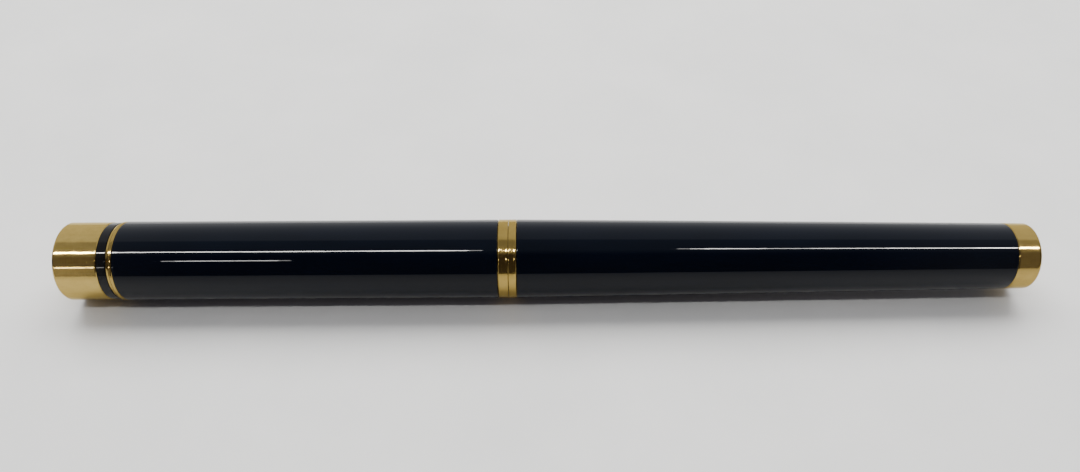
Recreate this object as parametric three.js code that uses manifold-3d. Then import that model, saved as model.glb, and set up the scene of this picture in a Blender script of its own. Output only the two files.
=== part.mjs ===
// A capped rollerball pen, lying on its cap and its clip, in millimetres, +Z up.
// The pen's axis is the X axis: the crown's flat end is at X = 0 and the tail at the far end.
// Every turned piece is a profile of [station along X, radius] points revolved about that axis.

import * as THREE from 'three';
import { mergeVertices } from 'three/addons/utils/BufferGeometryUtils.js';
import Module from 'manifold-3d';

const wasm = await Module();
wasm.setup();

// ---- driving dimensions ----

// The pen is sized from the inside out: the refill sets the section, the section sets the cap.

// refill
const refillRadius = 3.0;
const refillWall = 0.4;
const refillLength = 110;
const ballRadius = 0.35;
const ballClearance = 0.05;
const tipRadius = 1.15;
const tipLength = 6.6;
const tipWall = 0.5;
const tipConeLength = 2.6;
const noseLength = 5.2;
const noseInsertLength = 4.4;
const feedRadius = 0.55;
const feedLength = 24;
const plugHeadLength = 0.95;
const plugInsertLength = 3.0;

// grip section and nozzle
const tipReach = 2.63;
const nozzleLength = 9.2;
const nozzleMouthWall = 0.5;
const nozzleBulge = 0.2;
const nozzleSpigotLength = 7.7;
const spigotWall = 0.4;
const gripRingLength = 0.7;
const gripRingProud = 0.08;
const gripLength = 29.15;
const gripWaistLength = 9;
const gripWaistDrop = 0.43;
const gripFrontDrop = 0.53;
const gripRearLength = 16.2;
const snapRingLength = 1.2;
const snapRingProud = 0.15;
const snapRingDepth = 0.4;
const snapRingInset = 3.0;
const snapRingSlit = 0.9;
const sealThickness = 0.55;
const sealWidth = 0.65;

// The thread that joins the section to the barrel; both halves are plain, at their working radii.
const threadWall = 0.75;
const threadLength = 12.6;
const threadClearance = 0.1;
const nippleInsertLength = 14.6;
const bushLength = 15.4;

// crown end of the cap
const crownStep = 0.1;
const crownLength = 6.1;
const crownBevel = 0.25;
const spacerStep = 0.15;
const spacerLength = 1.29;
const crownRingLength = 0.88;
const crownRingCone = 0.3;

// cap
const capWall = 0.6;
const endPlugLength = 4.0;
const innerCapWall = 0.45;
const innerCapEnd = 1.05;
const capClearance = 0.3;
const tipRoom = 5.73;
const screwRadius = 1.6;
const screwHeadRadius = 2.6;
const screwHeadLength = 1.55;
const screwSlotWidth = 0.6;
const screwSlotDepth = 0.6;
const screwDepthInCrown = 3.8;
const washerOverhang = 0.5;
const washerThickness = 0.4;
const lipWall = 0.25;
const lipSpigotOverlap = 0.6;
const catchBeadHeight = 0.07;
const catchBeadLength = 0.6;
const lipBandLength = 1.45;
const bandProud = 0.02;
const bandBevel = 0.22;
const mouthGap = 0.1;

// clip
const clipWidth = 3.0;
const clipThickness = 0.9;
const clipReach = 2.0;
const clipLength = 38;
const clipRootLength = 2.0;
const clipRootRound = 1.3;
const clipNubGap = 0.37;
const clipNubRun = 2.4;
const clipOffset = 0.9;
const clipTabDepth = 0.85;
const clipOpening = THREE.MathUtils.degToRad(6);

// barrel
const barrelBandLength = 1.13;
const barrelWall = 0.62;
const barrelTaper = 0.88;
const barrelSwell = 0.11;
const tailLength = 3.45;
const tailTaper = 0.05;
const tailBevel = 0.5;
const tailPlugLength = 8.6;
const tailStubStep = 0.3;
const tailStubLength = 1.6;
const springWireRadius = 0.25;
const springLength = 5.2;
const springTurns = 4;
const springSeatDepth = 0.3;

// clearances
const fit = 0.05;
const slideFit = 0.1;
const slotFit = 0.3;

const outerSides = 32;
const innerSides = 24;
const smallSides = 16;

// ---- radii, from the refill outwards ----

const refillTubeBore = refillRadius - refillWall;
const noseFrontRadius = tipRadius + tipWall;
const refillBore = refillRadius + slideFit;
const spigotRadius = refillBore + spigotWall;
const nippleBore = refillBore + fit;
const threadRadius = nippleBore + threadWall;
const bushBore = threadRadius + threadClearance;
const gripRearRadius = threadRadius + sealWidth;
const gripFrontRadius = gripRearRadius - gripFrontDrop;
const snapRingRadius = gripRearRadius + snapRingProud;
const snapRingBore = gripRearRadius - snapRingDepth;

const lipBore = gripRearRadius + capClearance;
const innerCapRadius = lipBore + lipWall;
const innerCapBore = innerCapRadius - innerCapWall;
const capBore = innerCapRadius + fit;
const capRadius = capBore + capWall;
const bandRadius = capRadius + bandProud;
const crownRadius = capRadius - crownStep;
const spacerRadius = capRadius - spacerStep;
const stackBore = screwRadius + fit;
const washerRadius = screwHeadRadius + washerOverhang;

const bushRadius = innerCapRadius;
const barrelEndRadius = capRadius - barrelTaper;
const tailEndRadius = barrelEndRadius - tailTaper;
const tailPlugBore = refillRadius + 2 * slideFit;
const springRadius = refillRadius - 2 * springWireRadius - fit;

// ---- stations along the axis, from the crown's end to the tail ----

const spacerStart = crownLength;
const crownRingStart = spacerStart + spacerLength;
const capTubeStart = crownRingStart + crownRingLength;
const innerCapStart = capTubeStart + endPlugLength + fit;
const washerStart = innerCapStart + innerCapEnd + fit;
const screwHeadStart = washerStart + washerThickness + fit;
const screwEnd = screwHeadStart + screwHeadLength;

const tipStation = screwEnd + tipRoom;
const noseStart = tipStation + tipLength - tipConeLength + slideFit;
const refillTubeStart = noseStart + noseLength;
const refillEnd = tipStation + refillLength;

const nozzleMouth = tipStation + tipReach;
const nozzleShoulder = nozzleMouth + nozzleLength;
const gripRingStart = nozzleShoulder + fit;
const gripStart = gripRingStart + gripRingLength + fit;
const gripEnd = gripStart + gripLength;
const snapRingEnd = gripEnd - snapRingInset;
const snapRingStart = snapRingEnd - snapRingLength;
const sealStart = gripEnd + fit;
const barrelMouth = sealStart + sealThickness + fit;

const capMouth = barrelMouth - mouthGap;
const capTubeEnd = capMouth - lipBandLength;
const lipSpigotStart = snapRingStart - lipSpigotOverlap;
const innerCapMouth = lipSpigotStart - lipSpigotOverlap;

const barrelStart = barrelMouth + barrelBandLength;
const bushStart = barrelStart + fit;
const springSeat = refillEnd + springLength + 2 * fit;
const barrelEnd = springSeat - springSeatDepth;
const penEnd = barrelEnd + tailLength;

// ---- materials ----

function finish(color, roughness, metalness) {
  return new THREE.MeshStandardMaterial({ color, roughness, metalness });
}

const lacquer = finish(0x0a0c12, 0.08, 0.0);
const goldPlate = finish(0xd3a54e, 0.16, 1.0);
const blackPlastic = finish(0x0c0c0e, 0.3, 0.0);
const brass = finish(0xb08d4a, 0.32, 1.0);
const steel = finish(0xb9bcc0, 0.25, 1.0);
const rubber = finish(0x151515, 0.7, 0.0);
const whitePlastic = finish(0xd9d9d4, 0.4, 0.0);
const fibre = finish(0x24304e, 0.9, 0.0);

// ---- makers ----

const pen = new THREE.Group();

function addPiece(name, geometry, material) {
  const mesh = new THREE.Mesh(geometry, material);
  mesh.name = name;
  pen.add(mesh);
  return mesh;
}

function loopArea(profile) {
  return profile.reduce((sum, [x, r], i) => {
    const [nextX, nextR] = profile[(i + 1) % profile.length];
    return sum + x * nextR - nextX * r;
  }, 0);
}

// Revolves a [station, radius] outline about the X axis. An outline that begins and ends on the
// axis is solid; any other is closed on itself into a ring or a tube.
function turned(profile, sides = outerSides) {
  const ordered = loopArea(profile) < 0 ? profile : [...profile].reverse();
  const onAxis = ordered[0][1] === 0 && ordered[ordered.length - 1][1] === 0;
  const loop = onAxis ? ordered : [...ordered, ordered[0]];
  const points = loop.map(([station, radius]) => new THREE.Vector2(radius, station));
  const geometry = new THREE.LatheGeometry(points, sides);
  geometry.rotateZ(-Math.PI / 2);
  return geometry;
}

// The points of a rounded rim, from a flat end face out to the side; inward is 1 or -1.
function roundedRim(endStation, radius, bevel, inward) {
  return [
    [endStation, radius - bevel],
    [endStation + inward * bevel / 3, radius - bevel / 3],
    [endStation + inward * bevel, radius],
  ];
}

// A plain tube or ring between two stations.
function sleeve(start, end, bore, radius, sides = outerSides) {
  return turned([[start, bore], [start, radius], [end, radius], [end, bore]], sides);
}

function toSolid(geometry) {
  const bare = geometry.clone();
  bare.deleteAttribute('normal');
  bare.deleteAttribute('uv');
  const merged = mergeVertices(bare, 1e-4);
  const index = Array.from(merged.index.array);
  const triangles = [];
  for (let i = 0; i < index.length; i += 3) {
    const [a, b, c] = index.slice(i, i + 3);
    if (a !== b && b !== c && c !== a) triangles.push(a, b, c);
  }
  const vertProperties = new Float32Array(merged.attributes.position.array);
  const triVerts = new Uint32Array(triangles);
  return new wasm.Manifold(new wasm.Mesh({ numProp: 3, vertProperties, triVerts }));
}

function toGeometry(solid) {
  const mesh = solid.getMesh();
  const geometry = new THREE.BufferGeometry();
  geometry.setAttribute('position', new THREE.BufferAttribute(mesh.vertProperties, 3));
  geometry.setIndex(Array.from(mesh.triVerts));
  geometry.computeVertexNormals();
  return geometry;
}

function cut(geometry, ...cutters) {
  return toGeometry(cutters.reduce((solid, cutter) => solid.subtract(toSolid(cutter)), toSolid(geometry)));
}

function block(low, high) {
  const size = high.map((value, i) => value - low[i]);
  const middle = high.map((value, i) => (value + low[i]) / 2);
  return new THREE.BoxGeometry(...size).translate(...middle);
}

// ---- the clip's place ----

// The pen lies on its cap's bottom line and on one long edge of the clip's outer face. That edge,
// at a height above the axis and half a width to the side, comes down to the cap's lowest level.
const clipOuter = capRadius + clipReach;
const clipInner = clipOuter - clipThickness;
const clipEdge = Math.hypot(clipOuter, clipWidth / 2);
const clipEdgeTurn = Math.atan2(clipWidth / 2, clipOuter);
const clipTurn = Math.asin(bandRadius / clipEdge) - clipEdgeTurn;
const clipStart = capTubeStart + clipOffset;
const clipRootEnd = clipStart + clipRootLength;
const clipEnd = clipStart + clipLength;
const clipTabEnd = capBore - clipTabDepth;
const clipPivotRadius = (capRadius + capBore) / 2;

// The tab swings about the middle of its root as the clip opens, so its slot clears that swing.
const clipSwing = (clipPivotRadius - clipTabEnd) * Math.sin(clipOpening);
const slotClearance = slotFit + clipSwing;

function turnToClip(geometry) {
  return geometry.rotateX(-clipTurn);
}

function clipSlot() {
  const half = clipWidth / 2 + slotFit;
  const low = [clipStart - slotClearance, clipTabEnd - slotFit, -half];
  const high = [clipRootEnd + slotClearance, capRadius + clipReach, half];
  return turnToClip(block(low, high));
}

// ---- cap ----

function buildCap() {
  const crownEnd = crownLength - fit / 2;
  const crownBoreStart = crownLength - screwDepthInCrown - slotFit;
  addPiece('cap_crown', turned([
    [0, 0],
    ...roundedRim(0, crownRadius, crownBevel, 1),
    [crownEnd, crownRadius],
    [crownEnd, stackBore],
    [crownBoreStart, stackBore],
    [crownBoreStart, 0],
  ]), goldPlate);

  addPiece('crown_spacer',
    sleeve(spacerStart + fit / 2, crownRingStart - fit / 2, stackBore, spacerRadius), blackPlastic);

  addPiece('crown_ring', turned([
    [crownRingStart + fit / 2, stackBore],
    [crownRingStart + fit / 2, capRadius - crownRingCone],
    [crownRingStart + crownRingCone, capRadius],
    [capTubeStart - fit / 2, capRadius],
    [capTubeStart - fit / 2, stackBore],
  ]), goldPlate);

  const tube = sleeve(capTubeStart + fit / 2, capTubeEnd - fit / 2, capBore, capRadius);
  addPiece('cap_tube', cut(tube, clipSlot()), lacquer);

  const plug = sleeve(capTubeStart + fit / 2, capTubeStart + endPlugLength, stackBore, innerCapRadius);
  addPiece('cap_end_plug', cut(plug, clipSlot()), brass);

  addPiece('inner_cap', turned([
    [innerCapStart, stackBore],
    [innerCapStart, innerCapRadius],
    [innerCapMouth, innerCapRadius],
    [innerCapMouth, innerCapBore],
    [innerCapStart + innerCapEnd, innerCapBore],
    [innerCapStart + innerCapEnd, stackBore],
  ]), blackPlastic);

  addPiece('cap_washer',
    sleeve(washerStart, washerStart + washerThickness, stackBore, washerRadius, innerSides), steel);

  const screw = turned([
    [crownLength - screwDepthInCrown, 0],
    [crownLength - screwDepthInCrown, screwRadius],
    [screwHeadStart, screwRadius],
    [screwHeadStart, screwHeadRadius],
    [screwEnd - screwSlotWidth / 2, screwHeadRadius],
    [screwEnd, screwHeadRadius - screwSlotWidth / 2],
    [screwEnd, 0],
  ], innerSides);
  const slotReach = screwHeadRadius + fit;
  const screwSlot = block(
    [screwEnd - screwSlotDepth, -slotReach, -screwSlotWidth / 2],
    [screwEnd + fit, slotReach, screwSlotWidth / 2]);
  addPiece('cap_screw', cut(screw, screwSlot), steel);

  const lipStart = capTubeEnd + fit / 2;
  const beadStart = snapRingEnd + slideFit;
  const beadEnd = beadStart + catchBeadLength;
  addPiece('cap_lip_band', turned([
    [lipSpigotStart, lipBore],
    [lipSpigotStart, innerCapRadius],
    [lipStart, innerCapRadius],
    [lipStart, bandRadius - bandBevel],
    [lipStart + bandBevel, bandRadius],
    [capMouth - bandBevel, bandRadius],
    [capMouth, bandRadius - bandBevel],
    [capMouth, lipBore],
    [beadEnd + catchBeadHeight, lipBore],
    [beadEnd, lipBore - catchBeadHeight],
    [beadStart, lipBore - catchBeadHeight],
    [beadStart - catchBeadHeight / 2, lipBore],
  ]), goldPlate);
}

// ---- clip ----

// One strip: a tab through the cap's wall, a straight blade, and a nub that bears on the cap.
function buildClip() {
  const nub = capRadius + clipNubGap;
  const tipRound = clipThickness;
  const nubStation = clipEnd - 2 * tipRound;
  const outline = new THREE.Shape();
  outline.moveTo(clipStart, clipTabEnd);
  outline.lineTo(clipRootEnd, clipTabEnd);
  outline.lineTo(clipRootEnd, clipInner - clipThickness / 2);
  outline.quadraticCurveTo(clipRootEnd, clipInner, clipRootEnd + clipRootRound, clipInner);
  outline.lineTo(nubStation - clipNubRun, clipInner);
  outline.quadraticCurveTo(nubStation - clipNubRun / 2, nub, nubStation, nub);
  outline.quadraticCurveTo(clipEnd, nub, clipEnd, clipInner + clipThickness / 2);
  outline.quadraticCurveTo(clipEnd, clipOuter, clipEnd - tipRound, clipOuter);
  outline.lineTo(clipStart + clipRootRound, clipOuter);
  outline.quadraticCurveTo(clipStart, clipOuter, clipStart, clipOuter - clipRootRound);
  outline.closePath();
  const blade = new THREE.ExtrudeGeometry(outline, {
    depth: clipWidth,
    bevelEnabled: false,
    curveSegments: 5,
  });
  blade.translate(0, 0, -clipWidth / 2);
  addPiece('clip', blade, goldPlate).rotation.x = -clipTurn;
}

// ---- section ----

function buildSection() {
  const boreFront = spigotRadius + fit;
  const grooveFloor = snapRingBore - slideFit;
  addPiece('grip_section', turned([
    [gripStart, boreFront],
    [gripStart, gripFrontRadius],
    [gripStart + gripWaistLength, gripRearRadius - gripWaistDrop],
    [gripEnd - gripRearLength, gripRearRadius],
    [snapRingStart - slideFit, gripRearRadius],
    [snapRingStart - slideFit, grooveFloor],
    [snapRingEnd + slideFit, grooveFloor],
    [snapRingEnd + slideFit, gripRearRadius],
    [gripEnd, gripRearRadius],
    [gripEnd, boreFront],
  ]), lacquer);

  addPiece('grip_ring', sleeve(gripRingStart, gripRingStart + gripRingLength,
    boreFront, gripFrontRadius + gripRingProud), goldPlate);

  const nozzleMiddle = nozzleMouth + nozzleLength / 2;
  const tipBore = tipRadius + slideFit;
  const mouthRadius = tipBore + nozzleMouthWall;
  const seat = noseStart - slideFit;
  addPiece('nozzle', turned([
    [nozzleMouth, tipBore],
    [nozzleMouth, mouthRadius - fit],
    [nozzleMouth + fit, mouthRadius],
    [nozzleMiddle, (gripFrontRadius + mouthRadius) / 2 + nozzleBulge],
    [nozzleShoulder, gripFrontRadius],
    [nozzleShoulder, spigotRadius],
    [nozzleShoulder + nozzleSpigotLength, spigotRadius],
    [nozzleShoulder + nozzleSpigotLength, refillBore],
    [refillTubeStart - slideFit, refillBore],
    [seat, noseFrontRadius + slideFit],
    [seat, tipBore],
  ]), goldPlate);

  addPiece('section_nipple', turned([
    [gripEnd - nippleInsertLength, nippleBore],
    [gripEnd - nippleInsertLength, spigotRadius],
    [gripEnd + fit, spigotRadius],
    [gripEnd + fit, threadRadius],
    [barrelMouth + threadLength, threadRadius],
    [barrelMouth + threadLength, nippleBore],
  ]), brass);

  addPiece('sealing_ring', sleeve(sealStart, sealStart + sealThickness,
    threadRadius + fit, gripRearRadius), rubber);

  const ring = sleeve(snapRingStart, snapRingEnd, snapRingBore, snapRingRadius);
  const slit = block(
    [snapRingStart - fit, 0, -snapRingSlit / 2],
    [snapRingEnd + fit, snapRingRadius + fit, snapRingSlit / 2]);
  addPiece('snap_ring', cut(ring, slit), steel);
}

// ---- barrel ----

// The outside radius runs almost straight from mouth to tail, with a very slight swell.
function barrelRadius(station) {
  const share = (station - barrelStart) / (barrelEnd - barrelStart);
  return THREE.MathUtils.lerp(capRadius, barrelEndRadius, share) + barrelSwell * share * (1 - share);
}

function buildBarrel() {
  const tubeStart = barrelStart + fit / 2;
  const tubeEnd = barrelEnd - fit / 2;
  const bushPocketEnd = bushStart + bushLength + fit;
  const stations = [0, 0.25, 0.5, 0.75, 1].map((share) => THREE.MathUtils.lerp(tubeStart, tubeEnd, share));
  const outside = stations.map((station) => [station, barrelRadius(station)]);
  const pocket = [[bushPocketEnd, bushRadius + fit], [tubeStart, bushRadius + fit]];
  const rearBore = (station) => Math.min(barrelRadius(station) - barrelWall, bushRadius);
  const inside = [[tubeEnd, rearBore(tubeEnd)], [bushPocketEnd, rearBore(bushPocketEnd)]];
  addPiece('barrel_tube', turned([...outside, ...inside, ...pocket]), lacquer);

  addPiece('barrel_band', turned([
    [barrelMouth, bushBore + fit],
    [barrelMouth, bandRadius - bandBevel],
    [barrelMouth + bandBevel, bandRadius],
    [barrelStart - bandBevel, bandRadius],
    [barrelStart, bandRadius - bandBevel],
    [barrelStart, bushBore + fit],
  ]), goldPlate);

  addPiece('barrel_bush',
    sleeve(bushStart, bushStart + bushLength, bushBore, bushRadius), brass);

  const plugStart = barrelEnd - tailPlugLength;
  const plugRadius = rearBore(tubeEnd) - fit;
  const stubRadius = plugRadius - tailStubStep;
  const stubEnd = barrelEnd + tailStubLength;
  addPiece('tail_plug', turned([
    [springSeat, 0],
    [springSeat, tailPlugBore],
    [plugStart, tailPlugBore],
    [plugStart, plugRadius],
    [barrelEnd, plugRadius],
    [barrelEnd, stubRadius],
    [stubEnd, stubRadius],
    [stubEnd, 0],
  ]), brass);

  addPiece('tail_cap', turned([
    [stubEnd + fit, 0],
    [stubEnd + fit, stubRadius + fit],
    [barrelEnd + fit, stubRadius + fit],
    [barrelEnd + fit, barrelEndRadius],
    ...roundedRim(penEnd, tailEndRadius, tailBevel, -1).reverse(),
    [penEnd, 0],
  ]), goldPlate);

  addPiece('refill_spring', coil(refillEnd + fit, springSeat - fit), steel);
}

class Helix extends THREE.Curve {
  constructor(start, end, radius, turns) {
    super();
    Object.assign(this, { start, end, radius, turns });
  }

  getPoint(t, target = new THREE.Vector3()) {
    const angle = 2 * Math.PI * this.turns * t;
    const station = THREE.MathUtils.lerp(this.start, this.end, t);
    return target.set(station, this.radius * Math.cos(angle), this.radius * Math.sin(angle));
  }
}

// A spring wound between two stations, its wire's ends inside them.
function coil(start, end) {
  const wire = new THREE.Shape().absarc(0, 0, springWireRadius, 0, 2 * Math.PI);
  const path = new Helix(start + springWireRadius, end - springWireRadius, springRadius, springTurns);
  return new THREE.ExtrudeGeometry(wire, {
    steps: 12 * springTurns,
    curveSegments: 4,
    extrudePath: path,
  });
}

// ---- refill ----

function buildRefill() {
  const tipEnd = tipStation + tipLength;
  const channel = ballRadius * 0.6;
  const socketRadius = ballRadius + ballClearance;
  const ballMiddle = tipStation + ballRadius;
  const lipStation = ballMiddle - ballRadius * 0.4;
  const socketFloor = ballMiddle + ballRadius + ballClearance;
  const feedBore = feedRadius + fit;
  const feedStart = socketFloor + ballRadius;
  const coneEnd = lipStation + tipConeLength;
  addPiece('tip_cone', turned([
    [lipStation, socketRadius],
    [lipStation, socketRadius + 2 * fit],
    [coneEnd, tipRadius],
    [tipEnd, tipRadius],
    [tipEnd, feedBore],
    [feedStart, feedBore],
    [feedStart, channel],
    [socketFloor, channel],
    [socketFloor, socketRadius],
  ], smallSides), steel);

  const ball = new THREE.SphereGeometry(ballRadius, smallSides, smallSides / 2);
  addPiece('writing_ball', ball, steel).position.x = ballMiddle;

  const insertEnd = refillTubeStart + noseInsertLength;
  addPiece('refill_nose', turned([
    [noseStart, tipRadius + fit],
    [noseStart, noseFrontRadius],
    [refillTubeStart - fit, refillRadius - fit],
    [refillTubeStart - fit, refillTubeBore - fit],
    [insertEnd, refillTubeBore - fit],
    [insertEnd, feedBore],
    [tipEnd + fit, feedBore],
    [tipEnd + fit, tipRadius + fit],
  ], innerSides), whitePlastic);

  const tubeEnd = refillEnd - plugHeadLength;
  addPiece('refill_tube',
    sleeve(refillTubeStart, tubeEnd, refillTubeBore, refillRadius, innerSides), steel);

  const feedEnd = feedStart + fit + feedLength;
  const reservoirStart = insertEnd + fit;
  const reservoirEnd = tubeEnd - plugInsertLength - fit;
  addPiece('feed_rod', turned([
    [feedStart + fit, 0],
    [feedStart + fit, feedRadius],
    [feedEnd, feedRadius],
    [feedEnd, 0],
  ], smallSides), fibre);

  addPiece('ink_reservoir', turned([
    [feedEnd + fit, 0],
    [feedEnd + fit, feedBore],
    [reservoirStart, feedBore],
    [reservoirStart, refillTubeBore - fit],
    [reservoirEnd, refillTubeBore - fit],
    [reservoirEnd, 0],
  ], innerSides), fibre);

  addPiece('refill_plug', turned([
    [tubeEnd - plugInsertLength, 0],
    [tubeEnd - plugInsertLength, refillTubeBore - fit],
    [tubeEnd + fit, refillTubeBore - fit],
    [tubeEnd + fit, refillRadius],
    [refillEnd, refillRadius],
    [refillEnd, 0],
  ], innerSides), whitePlastic);
}

buildCap();
buildClip();
buildSection();
buildBarrel();
buildRefill();

export default pen;
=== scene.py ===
"""The looks of a capped rollerball pen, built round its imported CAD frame.

Lengths in the shape code are millimetres along the pen (x) and away from its axis (r); they are
turned into metres only when a mesh is made. X runs from the crown to the tail, Z is up.
"""
import math

import bpy
import numpy as np
from mathutils import Matrix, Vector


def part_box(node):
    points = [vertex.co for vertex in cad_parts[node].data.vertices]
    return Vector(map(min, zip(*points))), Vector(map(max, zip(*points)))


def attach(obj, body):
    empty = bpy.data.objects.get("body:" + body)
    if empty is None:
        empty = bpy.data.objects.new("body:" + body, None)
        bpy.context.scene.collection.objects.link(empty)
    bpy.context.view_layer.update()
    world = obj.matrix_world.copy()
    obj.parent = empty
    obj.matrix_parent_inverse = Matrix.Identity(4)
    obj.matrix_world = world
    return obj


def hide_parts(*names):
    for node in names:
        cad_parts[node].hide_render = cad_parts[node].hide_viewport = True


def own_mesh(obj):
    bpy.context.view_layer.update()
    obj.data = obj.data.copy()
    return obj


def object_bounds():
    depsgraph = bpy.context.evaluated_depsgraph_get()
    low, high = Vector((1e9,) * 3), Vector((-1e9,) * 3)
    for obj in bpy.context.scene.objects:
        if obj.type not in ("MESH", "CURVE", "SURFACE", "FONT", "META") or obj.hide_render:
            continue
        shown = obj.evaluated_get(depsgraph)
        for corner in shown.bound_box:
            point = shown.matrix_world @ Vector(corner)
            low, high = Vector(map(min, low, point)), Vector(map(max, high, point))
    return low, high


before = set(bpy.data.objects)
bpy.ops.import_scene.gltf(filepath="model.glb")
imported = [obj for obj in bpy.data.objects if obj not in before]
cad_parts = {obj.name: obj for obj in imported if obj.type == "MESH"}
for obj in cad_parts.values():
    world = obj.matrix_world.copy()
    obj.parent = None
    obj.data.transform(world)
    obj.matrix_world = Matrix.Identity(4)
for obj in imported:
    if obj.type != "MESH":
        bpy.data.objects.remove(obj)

MM = 0.001                # one millimetre, in metres
SIDES = 144               # steps round a turned piece
SHARP_EDGE = math.radians(38)       # edges steeper than this stay sharp
CAD_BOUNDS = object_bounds()


# ---------------------------------------------------------------- places taken from the frame

def start(node):
    """Where a node begins along the pen, in millimetres."""
    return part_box(node)[0].x / MM


def end(node):
    """Where a node ends along the pen, in millimetres."""
    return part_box(node)[1].x / MM


def radius(node):
    """A turned node's largest distance from the axis, in millimetres."""
    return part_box(node)[1].z / MM


SEAT = 0.05               # clearance between a piece and the bore it is pressed into
RUN = 0.1                 # clearance of a piece that slides or turns
SPLIT_TRIM = 0.022        # how far each band reaches into the split between cap and barrel

SPIGOT_WALL = 0.4         # wall of the tubes that plug into one another at the front
CAP_R = radius("cap_tube")
CAP_BORE = radius("inner_cap") + SEAT
BAND_R = radius("cap_lip_band")
LIP_BORE = CAP_BORE - 0.3
TAIL_R = radius("tail_cap")
GRIP_R = radius("grip_section")
GRIP_FRONT_R = radius("nozzle")
THREAD_R = radius("section_nipple")
REFILL_R = radius("refill_tube")
REFILL_BORE = REFILL_R - 0.4
TIP_R = radius("tip_cone")
BALL_R = radius("writing_ball")
STACK_BORE = 1.65         # hole through the crown, spacer and ring for the cap screw
CROWN_BORE_DEPTH = 3.6
LINER_WALL = 0.45         # wall of the inner cap
BARREL_WALL = 0.62        # wall of the barrel at its tail
THREAD_PITCH, THREAD_DEPTH = 1.0, 0.34
SPIGOT_R = REFILL_R + RUN + SPIGOT_WALL
TURN_TO_CLIP = math.atan2(-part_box("clip")[0].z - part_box("clip")[1].z,
                          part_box("clip")[0].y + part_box("clip")[1].y)


# ---------------------------------------------------------------- outlines and surfaces

def rounded(corners, steps=5):
    """An outline with its corners rounded.

    Each corner is (x, r, round). A rounded corner is replaced by a quadratic curve that leaves the
    first side and meets the second one at the same distance from the corner; that distance is the
    stated round, limited to a little under half of the shorter side. A straight side gets one more
    point close to each end, which holds its shading flat.
    """
    p = np.array([c[:2] for c in corners], float)
    size = np.array([c[2] if len(c) > 2 else 0.0 for c in corners])
    out = []
    for i, here in enumerate(p):
        before, after = p[i - 1], p[(i + 1) % len(p)]
        room = 0.45 * min(np.linalg.norm(before - here), np.linalg.norm(after - here))
        reach = min(size[i], room)
        if reach <= 0:
            out.append(here)
            continue
        a = here + (before - here) / np.linalg.norm(before - here) * reach
        b = here + (after - here) / np.linalg.norm(after - here) * reach
        t = np.linspace(0, 1, steps + 1)[:, None]
        out.extend((1 - t) ** 2 * a + 2 * t * (1 - t) * here + t ** 2 * b)
    return held(np.array(out))


def held(outline, hold=0.04):
    """The same outline with two extra points near the ends of every long straight side."""
    following = np.roll(outline, -1, axis=0)
    side = following - outline
    length = np.linalg.norm(side, axis=1)
    on_axis = (outline[:, 1] == 0) & (following[:, 1] == 0)
    wanted = (length > 4 * hold) & ~on_axis
    step = side * (hold / np.maximum(length, hold))[:, None]
    three = np.stack((outline, outline + step, following - step), axis=1)
    keep = np.stack((np.ones_like(wanted), wanted, wanted), axis=1)
    return three[keep]


def clockwise(outline):
    """The outline ordered so that its outer side is walked towards the tail."""
    x, r = outline.T
    area = np.sum(x * np.roll(r, -1) - np.roll(x, -1) * r)
    return outline if area < 0 else outline[::-1]


def from_axis(outline):
    """A solid's outline, rolled so that it begins and ends on the axis."""
    on_axis = outline[:, 1] == 0
    first = np.flatnonzero(on_axis & ~np.roll(on_axis, -1))
    return np.roll(outline, -first[0], axis=0) if len(first) else outline


def mesh_object(name, vertices, faces):
    """A mesh object at the origin, smooth shaded, with its sharp edges kept."""
    mesh = bpy.data.meshes.new(name)
    mesh.from_pydata(vertices.tolist(), [], faces)
    mesh.polygons.foreach_set("use_smooth", np.ones(len(mesh.polygons), bool))
    mesh.set_sharp_from_angle(angle=SHARP_EDGE)
    mesh.update()
    piece = bpy.data.objects.new(name, mesh)
    bpy.context.scene.collection.objects.link(piece)
    return piece


def grid_faces(rows, columns, wrap_rows, wrap_columns):
    """Four-cornered faces over a grid of points numbered row by row."""
    i = np.arange(rows if wrap_rows else rows - 1)
    j = np.arange(columns if wrap_columns else columns - 1)
    i, j = np.meshgrid(i, j, indexing="ij")
    down, across = (i + 1) % rows, (j + 1) % columns
    corners = (i * columns + j, i * columns + across, down * columns + across, down * columns + j)
    return np.stack(corners, axis=-1)


def turned(name, outline, sides=SIDES, relief=None):
    """A solid or ring of revolution.

    Every outline point (x, r) is carried round the X axis: a vertex is (x, r cos a, r sin a) at
    equal steps of the angle a. relief(x, r, a) is added to r, for threads and knurls. An outline
    with points on the axis makes a solid, closed there by one vertex at each end.
    """
    outline = from_axis(clockwise(np.asarray(outline, float)))
    x, r = outline.T
    a = np.arange(sides) * 2 * math.pi / sides
    x, r, a = np.broadcast_arrays(x[:, None], r[:, None], a[None, :])
    r = r + (relief(x, r, a) if relief else 0)
    points = np.stack((x, r * np.cos(a), r * np.sin(a)), axis=-1) * MM
    solid = outline[0, 1] == 0
    if not solid:
        faces = grid_faces(*x.shape, True, True).reshape(-1, 4)
        return mesh_object(name, points.reshape(-1, 3), faces.tolist())
    ring = points[1:-1].reshape(-1, 3)
    vertices = np.vstack((ring, points[0, :1], points[-1, :1]))
    faces = grid_faces(len(outline) - 2, sides, False, True).reshape(-1, 4).tolist()
    j = np.arange(sides)
    nxt = (j + 1) % sides
    last = (len(outline) - 3) * sides
    first_fan = np.stack((np.full(sides, len(ring)), nxt, j), axis=-1)
    last_fan = np.stack((np.full(sides, len(ring) + 1), last + j, last + nxt), axis=-1)
    return mesh_object(name, vertices, faces + first_fan.tolist() + last_fan.tolist())


def sleeve(x0, x1, bore, r, edge=0.08):
    """Outline of a plain ring or tube with small rounds on its edges."""
    return rounded([(x0, bore, edge), (x0, r, edge), (x1, r, edge), (x1, bore, edge)])


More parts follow.
